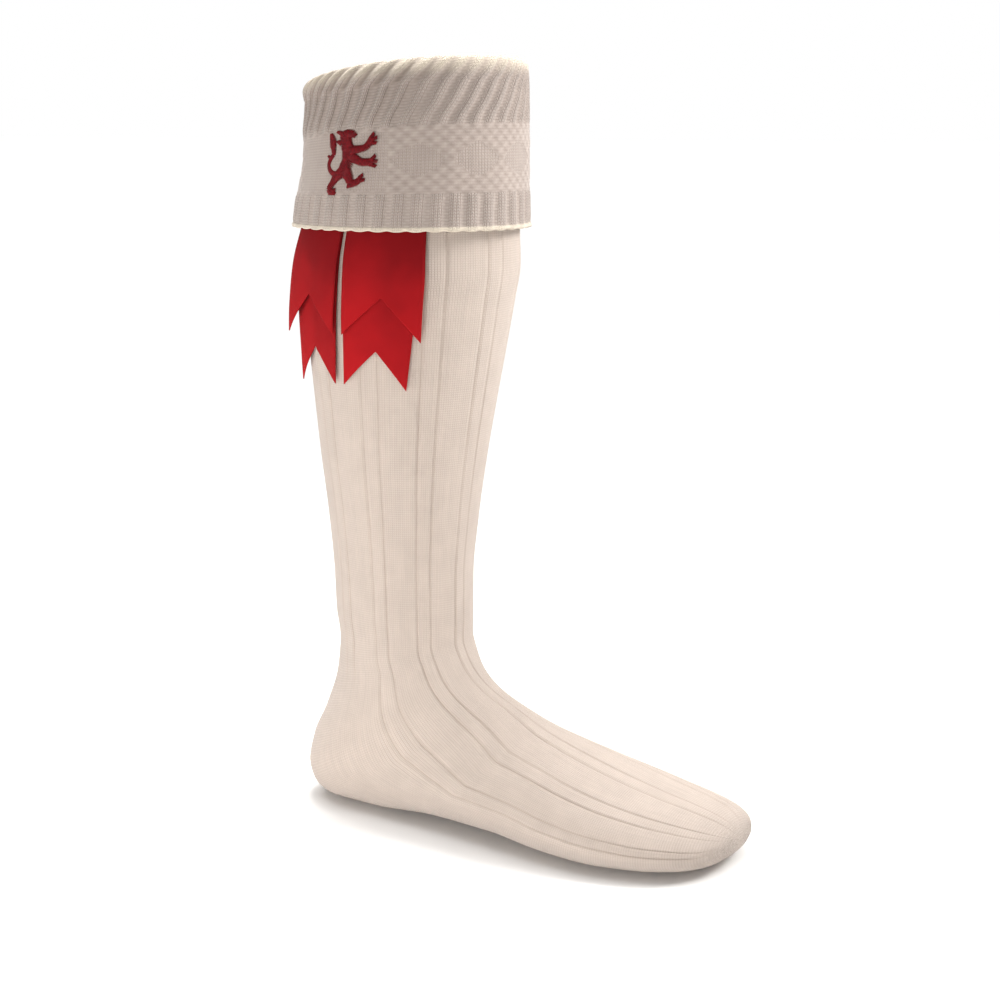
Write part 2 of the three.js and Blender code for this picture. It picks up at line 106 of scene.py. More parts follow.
def finishMaterial(material, surface, colour, height=None, relief=None):
    # colour and relief feed the shader, and what is the same all over is set on its own sockets
    shader = material.node_tree.nodes["Principled BSDF"]
    material.node_tree.links.new(colour.outputs[2], shader.inputs["Base Color"])
    if height:
        bump = addNode(material, "Bump", relief, {"Height": height})
        material.node_tree.links.new(bump.outputs[0], shader.inputs["Normal"])
    for socket, value in surface.items():
        shader.inputs[socket].default_value = value
    return material


def dress(piece, material):
    piece.data.materials.clear()
    piece.data.materials.append(material)


room = bpy.data.worlds.new("room")
bpy.context.scene.world = room
room.use_nodes = True
backdrop = room.node_tree.nodes["Background"]
backdrop.inputs["Color"].default_value = (1, 1, 1, 1)
seen = addNode(room, "LightPath")
brightness = {"To Min": studio["roomLight"], "To Max": studio["roomSeen"]}
strength = addNode(room, "MapRange", brightness, {"Value": seen})
room.node_tree.links.new(strength.outputs[0], backdrop.inputs["Strength"])


def addLamp(name, kind, place, pointsAt, power):
    light = bpy.data.lights.new(name, kind)
    light.energy = power
    lamp = bpy.data.objects.new(name, light)
    bpy.context.collection.objects.link(lamp)
    lamp.location = place
    lamp.rotation_euler = (Vector(pointsAt) - Vector(place)).to_track_quat("-Z", "Y").to_euler()
    return light


overhead = addLamp("overhead", "SUN", studio["overhead"]["comesFrom"], (0, 0, 0), studio["overhead"]["power"])
overhead.angle = math.radians(studio["overhead"]["spread"])
for name, place, pointsAt, size, power, spread in studio["lamps"]:
    light = addLamp(name, "AREA", place, pointsAt, power)
    light.shape = "DISK"
    light.size = size
    light.spread = math.radians(spread)
print("camera and light set")


def curveTable(places, values):
    # a table of values to be read along smooth curves that never overshoot a row
    places = np.array(places, float)
    values = np.array(values, float)
    rise = np.diff(values, axis=0) / np.diff(places)[:, None]
    product = rise[:-1] * rise[1:]
    total = rise[:-1] + rise[1:]
    slope = np.zeros_like(values)
    slope[1:-1] = np.where(product > 0, 2 * product / np.where(total == 0, 1, total), 0)
    slope[0], slope[-1] = rise[0], rise[-1]
    return places, values, slope


def readTable(table, at):
    places, values, slope = table
    at = np.clip(at, places[0], places[-1])
    row = np.clip(np.searchsorted(places, at, side="right") - 1, 0, len(places) - 2)
    step = (places[row + 1] - places[row])[..., None]
    part = (at - places[row])[..., None] / step
    return (
        (2 * part**3 - 3 * part**2 + 1) * values[row]
        + (part**3 - 2 * part**2 + part) * step * slope[row]
        + (3 * part**2 - 2 * part**3) * values[row + 1]
        + (part**3 - part**2) * step * slope[row + 1]
    )


def mix(a, b, share):
    return a + (b - a) * share


def smoothStep(value, low, high):
    part = np.clip((value - low) / (high - low), 0, 1)
    return part * part * (3 - 2 * part)


def within(value, start, full, fullEnd, end):
    # 1 from full to fullEnd, and 0 before start and after end
    return smoothStep(value, start, full) * (1 - smoothStep(value, fullEnd, end))


def hump(value, at, wide):
    return np.exp(-(((value - at) / wide) ** 2))


def ripple(turns):
    # 0 at whole turns, 1 halfway between them
    return 0.5 - 0.5 * np.cos(2 * np.pi * turns)


# the worn shape, in metres: the leg by height, then flat sections from the instep to the heel or sole
sock = {
    "height": 0.42,
    "calfDepth": 0.1215,
    "calfWidth": 0.113,
    "ankleDepth": 0.082,
    "ankleWidth": 0.066,
    "ankleHeight": 0.115,
    "legLean": 0.012,
    "toeReach": 0.206,
    "heelReach": 0.062,
    "ballWidth": 0.098,
    "toeDrift": 0.011,
    # height, fullness of the calf, lean
    "leg": [
        (1, 0.72, 1),
        (0.872, 0.83, 0.85),
        (0.793, 0.94, 0.62),
        (0.743, 1, 0.55),
        (0.69, 0.9, 0.43),
        (0.631, 0.745, 0.32),
        (0.571, 0.585, 0.2),
        (0.49, 0.37, 0.06),
        (0.41, 0.165, 0),
        (0.326, 0.02, -0.03),
        (0.274, 0, 0),
    ],
    # instep along and up, heel or sole along and up, width, widest place (0 sole to 1 instep),
    # squareness below (2 is round), drift inwards, plain without ribs
    "foot": [
        (0.197, 0.9, -0.62, 0.85, 0.673, 0.5, 2, 0, 0),
        (0.211, 0.82, -0.66, 0.68, 0.675, 0.5, 2, 0, 0.4),
        (0.232, 0.755, -0.79, 0.48, 0.69, 0.46, 2, 0, 1),
        (0.258, 0.705, -0.94, 0.3, 0.71, 0.42, 2.1, 0, 1),
        (0.284, 0.67, -0.99, 0.155, 0.72, 0.4, 2.2, 0, 1),
        (0.313, 0.64, -0.88, 0.04, 0.715, 0.38, 2.4, 0, 1),
        (0.347, 0.61, -0.62, 0, 0.715, 0.36, 2.6, 0, 1),
        (0.386, 0.575, -0.15, 0, 0.73, 0.36, 2.8, 0, 1),
        (0.45, 0.52, 0.16, 0.03, 0.79, 0.36, 2.8, 0, 1),
        (0.526, 0.468, 0.36, 0.035, 0.88, 0.36, 3, 0.02, 1),
        (0.612, 0.417, 0.524, 0.01, 0.965, 0.36, 3, 0.08, 1),
        (0.704, 0.366, 0.668, 0, 1, 0.37, 3, 0.18, 1),
        (0.8, 0.314, 0.79, 0, 0.955, 0.39, 2.8, 0.38, 1),
        (0.888, 0.268, 0.893, 0.01, 0.845, 0.42, 2.6, 0.62, 1),
        (0.95, 0.224, 0.956, 0.028, 0.67, 0.45, 2.3, 0.82, 1),
        (0.984, 0.178, 0.987, 0.062, 0.42, 0.5, 2.1, 0.95, 1),
        (0.996, 0.148, 0.997, 0.09, 0.22, 0.5, 2, 0.99, 1),
        (1.0, 0.121, 1.0, 0.119, 0.005, 0.5, 2, 1, 1),
    ],
}
knitColumns = ("topY", "topZ", "backY", "backZ", "width", "x", "widest", "square", "plain")


def buildKnitTable():
    # the sections of the worn shape, by how far down the knit they lie
    rows, along = [], []
    for height, fullness, lean in sock["leg"]:
        z = height * sock["height"]
        half = mix(sock["ankleDepth"], sock["calfDepth"], fullness) / 2
        middle = -sock["legLean"] * lean
        width = mix(sock["ankleWidth"], sock["calfWidth"], fullness)
        rows.append((middle - half, z, middle + half, z, width, 0, 0.5, 2, 0))
        along.append(sock["height"] - z)
    for topAlong, topUp, backAlong, backUp, width, widest, square, drift, plain in sock["foot"]:
        top = (-topAlong * sock["toeReach"], topUp * sock["ankleHeight"])
        backReach = sock["toeReach"] if backAlong > 0 else sock["heelReach"]
        back = (-backAlong * backReach, backUp * sock["ankleHeight"])
        above = rows[-1]
        rows.append((*top, *back, width * sock["ballWidth"], drift * sock["toeDrift"], widest, square, plain))
        along.append(along[-1] + (math.dist(top, above[:2]) + math.dist(back, above[2:4])) / 2)
    return curveTable(along, rows)


knitTable = buildKnitTable()
legEnd = sock["height"] * (1 - sock["leg"][-1][0])
toeEnd = knitTable[0][-1]


def sectionAt(along):
    return dict(zip(knitColumns, np.moveaxis(readTable(knitTable, along), -1, 0)))


def legPoint(along, turn, out):
    # a place on the worn shape: metres of knit below the fold, radians from the shin round the outer side,
    # and metres out from the skin
    at = sectionAt(along)
    axisY, axisZ = at["topY"] - at["backY"], at["topZ"] - at["backZ"]
    length = np.hypot(axisY, axisZ)
    axisY, axisZ = axisY / length, axisZ / length
    cosine, sine = np.cos(turn), np.sin(turn)
    power = 2 / np.where(cosine < 0, at["square"], 2)
    reach = np.where(cosine < 0, at["widest"], 1 - at["widest"]) * length + out
    across = (at["width"] / 2 + out) * np.sign(sine) * np.abs(sine) ** power
    up = at["widest"] * length + reach * np.sign(cosine) * np.abs(cosine) ** power
    return np.stack([at["x"] - across, at["backY"] + axisY * up, at["backZ"] + axisZ * up], axis=-1)


cuff = {
    "topRibs": 0.0345,
    "band": 0.035,
    "hemRibs": 0.0195,
    "backDip": 0.014,  # how much lower the fold lies behind than over the shin
    "stand": 0.0058,  # leg's skin to the outside of the ribs
    "bandInset": 0.0009,
    "flare": 0.0006,
    "returnDepth": 0.014,
    "radius": 0.0625,
    # the ribs
    "ribs": 40,
    "topRibDeep": 0.0017,
    "hemRibDeep": 0.0014,
    "topGroove": 1.15,  # the higher, the narrower the grooves
    "hemGroove": 1.8,
    "leanAtFold": 47.0,  # degrees that the ribs lean towards the shin, above the crease
    "leanBelow": 15.0,
    "leanOverShin": 17.0,  # more of it round the outer front
    "leanMostAt": 32.0,  # degrees from the shin
    "loose": (0.00022, 0.00018),  # no two ribs lie quite alike
    "arcs": 0.0006,  # the bound-off edge hangs in small arcs between the ribs
    # round the outer side the fold bulges over a soft crease, and the knit below it lies further in
    "creasedSide": (60, 80, 165, 200),  # degrees from the shin where it starts, is full and ends
    "crease": 0.0125,  # below the fold
    "bulge": 0.0011,
    "dip": 0.0006,
    "partedDeep": 0.00035,
    "openedDeep": 0.0004,
    # the band
    "lozenges": 12,
    "lozengeWide": 0.43,  # half a lozenge, as a share of the way to the next
    "lozengeHigh": 0.25,  # half a lozenge, as a share of the band
    "lozengeSides": 1.3,  # 1 gives straight sides, 2 round ones
    "lozengeShift": 0.1,
    "plainPatch": (70, 76, 128, 134),  # degrees from the shin, round the lion
    "mossHigh": 0.00032,
    "weltHigh": 0.0003,
    "weltsAt": (0.0358, 0.0682),
    # the stitches
    "wales": 200,
    "course": 0.00155,
    # the mesh, its rows in millimetres apart
    "columns": 440,
    "rowsApart": {"band": 0.8, "edges": 0.62, "ribs": 1.05, "inside": 3.2},
}
cuff["drop"] = cuff["topRibs"] + cuff["band"] + cuff["hemRibs"]
hemHeight = sock["height"] - cuff["drop"]


def foldHeight(turn):
    return sock["height"] - cuff["backDip"] * ((1 - np.cos(turn)) / 2) ** 1.5


def cuffPoint(turn, depth, out):
    z = mix(foldHeight(turn), hemHeight, depth / cuff["drop"])
    return legPoint(sock["height"] - z, turn, out)


def flareAt(depth):
    return cuff["flare"] * np.clip((depth - cuff["topRibs"]) / (cuff["drop"] - cuff["topRibs"]), 0, 1)


def flipFaces(piece):
    bpy.context.view_layer.objects.active = piece
    bpy.ops.object.mode_set(mode="EDIT")
    bpy.ops.mesh.select_all(action="SELECT")
    bpy.ops.mesh.flip_normals()
    bpy.ops.object.mode_set(mode="OBJECT")


def wrapGrid(name, places, stitches, marks=None):
    # a grid with a column and a row for each place, wrapped onto the worn shape, its seams merged
    rows, columns = places.shape[:2]
    bpy.ops.object.select_all(action="DESELECT")
    bpy.ops.mesh.primitive_grid_add(x_subdivisions=columns - 1, y_subdivisions=rows - 1, size=1)
    piece = bpy.context.object
    piece.name = name
    mesh = piece.data
    mesh.name = name
    mesh.vertices.foreach_set("co", places.reshape(-1).astype(np.float32))
    corner = np.empty(len(mesh.loops), np.int32)
    mesh.loops.foreach_get("vertex_index", corner)
    mesh.uv_layers[0].name = "stitches"
    mesh.uv_layers[0].data.foreach_set("uv", stitches.reshape(-1, 2)[corner].reshape(-1).astype(np.float32))
    for key, values in (marks or {}).items():
        mark = mesh.attributes.new(key, "FLOAT", "POINT")
        mark.data.foreach_set("value", values.reshape(-1).astype(np.float32))
    bpy.ops.object.mode_set(mode="EDIT")
    bpy.ops.mesh.select_all(action="SELECT")
    bpy.ops.mesh.remove_doubles(threshold=0.000002)
    bpy.ops.object.mode_set(mode="OBJECT")
    mesh.update()
    if signedVolume(mesh) < 0:
        flipFaces(piece)
    bpy.ops.object.shade_smooth()
    return piece


def signedVolume(mesh):
    mesh.calc_loop_triangles()
    index = np.empty(len(mesh.loop_triangles) * 3, np.int32)
    mesh.loop_triangles.foreach_get("vertices", index)
    points = np.empty(len(mesh.vertices) * 3, np.float32)
    mesh.vertices.foreach_get("co", points)
    a, b, c = np.moveaxis(points.reshape(-1, 3)[index.reshape(-1, 3)].astype(float), 1, 0)
    return float(np.einsum("ij,ij->i", a, np.cross(b, c)).sum() / 6)


def closeSeam(places):
    places[:, -1] = places[:, 0]


# the leg and foot: broad panels and narrow ones, with a fine groove on both sides of each narrow one
legKnit = {
    "ribs": 10,
    "firstGroove": 4.0,  # degrees from the shin
    "narrow": 11.0,  # degrees from groove to groove
    "grooveHalf": 0.8,
    "grooveDeep": 0.00055,
    "lipAt": 2.3,
    "lipHalf": 0.9,
    "lip": 0.00014,  # raised edge beside a groove
    "crown": 0.00028,
    "uneven": 0.2,  # some grooves pull in more than others
    "plainFrom": (0.45, 0.62),  # where heel and sole lose the ribs, 0 at the instep to 1 at the sole
    "toeFade": 0.02,  # the ribs fade over this much knit before the toe's end
    "wall": 0.002,
    "loops": 0.0006,  # behind the wall
    "toeWall": 0.0025,
    "wales": 240,
    "course": 0.00125,
    # the mesh
    "besideGroove": (0, 0.7, 1.4, 2.2, 3.2),  # degrees between a groove and its columns
    "step": 0.0026,  # metres of knit between rows
    "innerStep": 0.009,
}


def legColumns():
    # angles round the leg, close together at the grooves
    repeat = 360 / legKnit["ribs"]
    narrow = legKnit["narrow"]
    beside = legKnit["besideGroove"]
    near = [-degrees for degrees in beside[:0:-1]] + list(beside)
    inNarrow = [near[-1] + (narrow - 2 * near[-1]) * part / 3 for part in (1, 2)]
    wideStart, wideEnd = narrow + near[-1], repeat + near[0]
    inWide = [mix(wideStart, wideEnd, part / 9) for part in range(1, 9)]
    pattern = np.array(sorted(near + inNarrow + [narrow + degrees for degrees in near] + inWide))
    starts = legKnit["firstGroove"] + repeat * np.arange(legKnit["ribs"])
    turns = (starts[:, None] + pattern).reshape(-1)
    return np.radians(np.append(turns, turns[0] + 360))


def legRelief(turn, plain):
    # how far the ribs stand out, and how deep in a groove each place is
    repeat = 360 / legKnit["ribs"]
    narrow = legKnit["narrow"]
    at = (np.degrees(turn) - legKnit["firstGroove"]) % repeat
    off = np.minimum(np.minimum(at, np.abs(at - narrow)), repeat - at)
    deep = hump(off, 0, legKnit["grooveHalf"])
    lip = hump(off, legKnit["lipAt"], legKnit["lipHalf"])
    inNarrow = at < narrow
    across = np.where(inNarrow, at / narrow, (at - narrow) / (repeat - narrow))
    crown = np.sin(np.pi * across) ** 0.7 * np.where(inNarrow, 1.0, 0.7)
    ribbed = 1 - plain * smoothStep((1 - np.cos(turn)) / 2, *legKnit["plainFrom"])
    out = -legKnit["grooveDeep"] * deep + legKnit["lip"] * lip + legKnit["crown"] * crown
    return out * ribbed, deep * ribbed


def walesAtHeel(along, turn):
    # the heel's knit spreads wide behind, so the wales beside it run straight down before they turn forward
    section = sectionAt(along)
    length = np.hypot(section["topY"] - section["backY"], section["topZ"] - section["backZ"])
    spread = np.where(along < legEnd, 1, np.maximum(length / sock["ankleDepth"], 1))
    widest, square = section["widest"], section["square"]
    cosine = np.cos(turn)
    half = np.where(cosine < 0, widest, 1 - widest)
    share = 1 - widest - half * np.sign(cosine) * np.abs(cosine) ** (2 / np.where(cosine < 0, square, 2))
    share = share * spread ** (share**2 - 1)
    reach = 1 - share - widest
    half = np.where(reach < 0, widest, 1 - widest)
    power = np.where(reach < 0, square, 2) / 2
    cosine = np.sign(reach) * np.clip(np.abs(reach) / half, 0, 1) ** power
    moved = np.arccos(np.clip(cosine, -1, 1))
    return np.where(spread == 1, turn, np.where(np.sin(turn) < 0, 2 * np.pi - moved, moved))


def buildLeg():
    turn = legColumns()
    rimDepth = cuff["returnDepth"] + 0.0003  # the leg starts just under the cuff's seam
    rim = sock["height"] - mix(foldHeight(turn), hemHeight, rimDepth / cuff["drop"])
    settle = sock["height"] * (1 - sock["leg"][1][0])  # below this the rows are level

    def knitRows(step):
        along = np.arange(0, int((toeEnd - rim.mean()) / step) + 1) * step + rim.mean()
        along[-1] = toeEnd
        share = np.clip((settle - along) / (settle - rim.mean()), 0, 1)[:, None]
        along = along[:, None] + share * (rim - rim.mean())[None, :]
        turns = np.broadcast_to(turn, along.shape)
        relief, deep = legRelief(turns, sectionAt(along)["plain"])
        return along, turns, relief, deep

    along, turns, relief, deep = knitRows(legKnit["step"])
    fade = np.clip((toeEnd - along) / legKnit["toeFade"], 0, 1)
    uneven = 1 - legKnit["uneven"] + legKnit["uneven"] * np.sin(7 * turns + 40 * along)
    skin = legPoint(along, walesAtHeel(along, turns), relief * fade * uneven)
    skin[-1] = skin[-1].mean(axis=0)
    inAlong, inTurns, inRelief, inDeep = knitRows(legKnit["innerStep"])
    wall = legKnit["wall"] * np.clip((toeEnd - inAlong) / 0.004, 0, 1)
    inOut = -wall - legKnit["loops"] + 0.4 * inRelief
    lining = legPoint(np.minimum(inAlong, toeEnd - legKnit["toeWall"]), walesAtHeel(inAlong, inTurns), inOut)
    lining[-1] = lining[-1].mean(axis=0)
    places = np.concatenate([skin[::-1], lining])
    closeSeam(places)
    course = np.concatenate([along[::-1], 2 * rim.mean() - inAlong]) / legKnit["course"]
    wale = np.broadcast_to(turn / (2 * np.pi) * legKnit["wales"], places.shape[:2])
    inside = np.concatenate([np.zeros(along.shape), np.ones(inAlong.shape)])
    # deep carries painted shade into the leg's grooves, fainter on the inside
    marks = {"deep": np.concatenate([deep[::-1], 0.4 * inDeep]), "purl": inside}
    return wrapGrid("legAndFoot", places, np.stack([wale, course], axis=-1), marks)


leg = buildLeg()
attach(leg, "root")
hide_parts("leg_and_foot")
print("leg and foot knitted:", len(leg.data.polygons), "faces")


# the cuff's section, in millimetres: from the seam up inside the roll, down the outside, round the hem
# and back up inside to the seam
cuffPath = [
    # depth below the fold, out from the leg's skin, rib (0 smooth to 1)
    (14, -1.2, 0.2),
    (13.8, -1.9, 0.3),
    (9, -2, 0.45),
    (4.2, -2.05, 0.5),
    (1.9, -1.6, 0.5),
    (0.5, -0.5, 0.5),
    (0, 0.9, 0.6),
    (0.25, 2.3, 0.75),
    (1.2, 3.8, 0.9),
    (3, 5, 1),
    (6, 5.6, 1),
    (10.5, 5.75, 1),
    (18, 5.8, 1),
    (30, 5.8, 1),
    (33.2, 5.7, 0.9),
    (34.6, 5.2, 0.3),
    (35.6, 4.9, 0),
    (50, 4.9, 0),
    (68.4, 4.9, 0),
    (69.4, 5.3, 0.35),
    (70.8, 5.85, 0.9),
    (74, 6, 1),
    (83.5, 6, 1),
    (85.6, 5.8, 0.8),
    (86.4, 5.6, 0.6),
    (87.3, 6.15, 0.45),
    (88.4, 6.25, 0.45),
    (89.2, 5.6, 0.4),
    (89.3, 4.6, 0.35),
    (88.6, 3.8, 0.3),
    (87, 3.2, 0.2),
    (75, 2.9, 0.1),
    (52, 2.65, 0),
    (36, 2.6, 0),
    (20, 2.6, 0),
    (9, 2.7, 0.1),
    (5.6, 2.3, 0.1),
    (4.6, 1.3, 0),
    (5.4, 0.3, 0),
    (9, 0.05, 0),
    (13.6, 0.05, 0),
    (14, -0.3, 0.1),
    (14, -1.2, 0.2),
]


def cuffRows():
    # rows along the section: close together outside, where the pattern is, and wide apart inside
    path = np.array(cuffPath)
    length = np.concatenate([[0], np.cumsum(np.hypot(np.diff(path[:, 0]), np.diff(path[:, 1])))])
    table = curveTable(length, path)
    apart = cuff["rowsApart"]
    outsideStart = length[2]  # inside the roll
    outsideEnd = length[int(np.argmax(path[:, 0]))]  # the lowest place of the hem
    steps, at = [], 0.0
    while at < length[-1] - 0.5:
        steps.append(at)
        depth = readTable(table, at)[0]
        if not outsideStart < at < outsideEnd:
            at += apart["inside"]
        elif 34 < depth < 70:
            at += apart["band"]
        elif depth < 7 or depth > 84:
            at += apart["edges"]
        else:
            at += apart["ribs"]
    steps = np.array(steps + [length[-1]])
    return readTable(table, steps), steps


def ribLean(turn, depth):
    # how far round towards the shin the upper ribs have moved at this depth, in radians
    front = np.clip(np.cos(turn - math.radians(cuff["leanMostAt"])), 0, 1) ** 2
    low = np.radians(cuff["leanBelow"] + cuff["leanOverShin"] * front)
    high = np.radians(cuff["leanAtFold"])
    below = np.clip(cuff["topRibs"] - np.maximum(depth, cuff["crease"]), 0, None)
    above = np.clip(cuff["crease"] - depth, 0, None)
    ease = smoothStep(cuff["topRibs"] - depth, 0, 0.012)
    return (np.tan(low) * below * (0.5 + 0.5 * ease) + np.tan(high) * above) / cuff["radius"]


def mossAt(turn, depth):
    # 1 on the textured ground between the plain lozenges, 0 in the lozenges and round the lion
    sides = cuff["lozengeSides"]
    x = turn / (2 * np.pi) * cuff["lozenges"] + cuff["lozengeShift"]
    y = (depth - cuff["topRibs"]) / cuff["band"] - 0.5
    across = np.abs(x - np.round(x)) / cuff["lozengeWide"]
    along = np.abs(y) / cuff["lozengeHigh"]
    moss = smoothStep((across**sides + along**sides) ** (1 / sides), 0.96, 1.04)
    return moss * (1 - within(np.degrees(turn) % 360, *cuff["plainPatch"]))


def buildCuff():
    path, steps = cuffRows()
    depth, base, rib = (column[:, None] for column in path.T)
    depth = depth / 1000
    turn = (np.arange(cuff["columns"] + 1) / cuff["columns"] * 2 * np.pi)[None, :]
    row = np.arange(len(path))[:, None]
    lastOutside = int(np.argmax(depth[:, 0] > 0.0888))
    downToHem = row <= lastOutside
    outside = downToHem & (row > 6)
    side = within(np.degrees(turn), *cuff["creasedSide"])
    belowCrease = smoothStep(depth, cuff["crease"] - 0.0012, cuff["crease"] + 0.0012)
    opened = side * (1 - belowCrease)
    onHem = smoothStep(depth, 0.05, 0.069)
    # the ribs: below the crease each parts along its middle, above it the roll pulls the grooves open
    phase = turn * cuff["ribs"] / (2 * np.pi) - 0.25
    groove = ripple(phase) ** mix(cuff["topGroove"], cuff["hemGroove"], onHem)
    parted = ripple(2 * phase) * side * belowCrease * (1 - smoothStep(depth, 0.029, 0.034))
    grooveDeep = np.where(depth < 0.05, cuff["topRibDeep"], cuff["hemRibDeep"])
    out = base / 1000 + flareAt(depth) - grooveDeep * groove * rib
    out = out - cuff["partedDeep"] * parted - cuff["openedDeep"] * groove * rib * opened
    # the band
    onBand = outside & (depth > cuff["topRibs"]) & (depth < cuff["topRibs"] + cuff["band"])
    moss = mossAt(turn, depth) * onBand
    welt = sum(hump(depth, at, 0.0008) for at in cuff["weltsAt"]) * onBand
    out = out + cuff["mossHigh"] * moss + cuff["weltHigh"] * welt
    # the crease, and how loosely the cuff lies
    bulge = cuff["bulge"] * hump(depth, 0.0065, 0.0045)
    dip = cuff["dip"] * belowCrease * (1 - smoothStep(depth, 0.02, 0.031))
    out = out + (bulge - dip) * side * outside
    wide, narrow = cuff["loose"]
    loose = wide * np.sin(5 * turn + 90 * depth) + narrow * np.sin(11 * turn - 140 * depth + 1.3)
    out = out + loose * outside
    arcs = cuff["arcs"] * groove * smoothStep(depth, 0.0865, 0.089)
    turns = turn - ribLean(turn, depth) * smoothStep(row.astype(float), 3, 9) * downToHem
    places = cuffPoint(turns, depth - arcs, out)
    closeSeam(places)
    places[-1] = places[0]
    wale = np.broadcast_to(turn / (2 * np.pi) * cuff["wales"], places.shape[:2])
    course = np.broadcast_to(steps[:, None] / 1000 / cuff["course"], places.shape[:2])
    everywhere = np.ones(places.shape[:2])
    purl = np.where(onBand, 0, smoothStep(groove, 0.45, 0.75) * (rib > 0.2))
    boundOff = 0.7 * smoothStep(depth, 0.0862, 0.0872) * (row <= lastOutside + 3)
    paintedFoldHighlight = 0.85 * (1 - smoothStep(depth, 0.002, 0.011)) * outside  # painted highlight: paler yarn over the top of the fold, where the light from above falls
    marks = {
        # deep: painted shade in the grooves, more where the roll pulls them open and where the ribs part,
        # less on the hem
        "deep": groove * rib * (1 + 1.3 * opened) * (1 - 0.45 * onHem) + 0.9 * parted,
        "purl": purl * everywhere,
        "moss": np.clip(moss + welt, 0, 1),
        "even": onBand * (1 - moss),
        # rim: paler yarn at the bound-off edge, and a painted highlight over the fold
        "rim": boundOff * everywhere + paintedFoldHighlight * (1 - 0.7 * groove),
    }
    return wrapGrid("turnoverCuff", places, np.stack([wale, course], axis=-1), marks)


turnover = buildCuff()
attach(turnover, "root")
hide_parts("turnover_cuff")
print("cuff knitted:", len(turnover.data.polygons), "faces")


# the elastic band that the cuff hides, with the fine ribs of woven elastic
garter = {
    "foot": 0.339,
    "width": 0.022,
    "radius": 0.06,
    "lift": 0.0013,
    "thick": 0.0016,
    "ribs": 16,
    "ribHigh": 0.00012,
}


def giveThickness(piece, thick):
    wall = piece.modifiers.new("wall", "SOLIDIFY")
    wall.thickness = thick
    wall.offset = 0
    bpy.ops.object.modifier_apply(modifier=wall.name)


def buildGarter():
    turn, down = np.meshgrid(np.linspace(0, 2 * np.pi, 145), np.linspace(0, 1, 33))
    ribbing = garter["ribHigh"] * np.cos(2 * np.pi * garter["ribs"] * down)
    z = garter["foot"] + garter["width"] * (1 - down)
    places = legPoint(sock["height"] - z, turn, garter["lift"] + ribbing)
    closeSeam(places)
    weave = np.stack([turn * garter["radius"], down * garter["width"]], axis=-1) * 1000
    piece = wrapGrid("garterBand", places, weave)
    giveThickness(piece, garter["thick"])
    return piece


band = buildGarter()
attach(band, "root")
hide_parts("garter_band")
print("garter made")


# the ribbons: top and tip are their edges' degrees from the shin, drops and notch are shares of the longest
# drop, lifts are the tips' millimetres from the leg, and shade deepens the front half's red
flashes = {
    "drop": 0.084,
    "top": garter["foot"] - 0.0003,
    "thick": 0.00062,
    "seat": (0.8, 2.0),  # from the leg to the ribbon's middle under the cuff, by layer
    "rows": [
        {"piece": "ribbonFrontUnder", "node": "flash_front_under", "layer": 0, "cloth": (0.0435, 0.0917),
         "top": (51, 92), "tip": (59, 97), "drops": (1.0, 0.975), "notch": 0.75, "lifts": (2.0, 2.0),
         "flat": 0.2, "wave": 0.3, "shade": 0.15},
        {"piece": "ribbonFrontOver", "node": "flash_front_over", "layer": 1, "cloth": (0.0445, 0.0657),
         "top": (51, 92), "tip": (52, 95), "drops": (0.69, 0.65), "notch": 0.41, "lifts": (3.6, 3.6),
         "flat": 0.25, "wave": 0.4, "shade": 0.15},
        {"piece": "ribbonRearUnder", "node": "flash_rear_under", "layer": 0, "cloth": (0.0435, 0.0917),
         "top": (95, 136), "tip": (103, 144), "drops": (0.975, 1.0), "notch": 0.75, "lifts": (2.3, 5.2),
         "flat": 0.45, "wave": 0.6, "shade": 0.25},
        {"piece": "ribbonRearOver", "node": "flash_rear_over", "layer": 1, "cloth": (0.0445, 0.0648),
         "top": (95, 136), "tip": (100, 145), "drops": (0.65, 0.68), "notch": 0.41, "lifts": (4.4, 10.0),
         "flat": 0.5, "wave": 0.7, "shade": 0.25},
    ],
}


def buildRibbon(row):
    across, down = np.meshgrid(np.linspace(0, 1, 25), np.linspace(0, 1, 61))
    frontEdge = mix(row["drops"][0], row["notch"], across * 2)
    rearEdge = mix(row["notch"], row["drops"][1], across * 2 - 1)
    edge = np.where(across < 0.5, frontEdge, rearEdge) * flashes["drop"]
    z = mix(flashes["top"], hemHeight - edge, down)
    free = np.clip((hemHeight - z) / flashes["drop"], 0, 1) / max(row["drops"])
    seat = flashes["seat"][row["layer"]]

    def clothPoint(share):
        turn = np.radians(mix(mix(*row["top"], share), mix(*row["tip"], share), free))
        lift = mix(seat, mix(*row["lifts"], share), free)
        lift = lift + row["wave"] * free * np.sin(2 * np.pi * (1.1 * share + 0.4 * free))
        return legPoint(sock["height"] - z, turn, lift / 1000)

    # round the leg under the cuff, flatter further down, as a ribbon hangs
    flat = mix(clothPoint(0), clothPoint(1), across[..., None])
    places = mix(clothPoint(across), flat, (row["flat"] * smoothStep(free, 0, 0.6))[..., None])
    width, length = row["cloth"]
    weave = np.stack([across * width, down * length], axis=-1) * 1000
    # painted shade deepens the red over the front half
    marks = {"free": free - row["shade"] * (1 - smoothStep(across, 0.35, 0.7))}
    piece = wrapGrid(row["piece"], places, weave, marks)
    if piece.data.polygons[len(piece.data.polygons) // 2].normal.x > 0:
        flipFaces(piece)
    giveThickness(piece, flashes["thick"])
    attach(piece, "root")
    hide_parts(row["node"])
    return piece


ribbons = [buildRibbon(row) for row in flashes["rows"]]
print("ribbons hung:", len(ribbons))


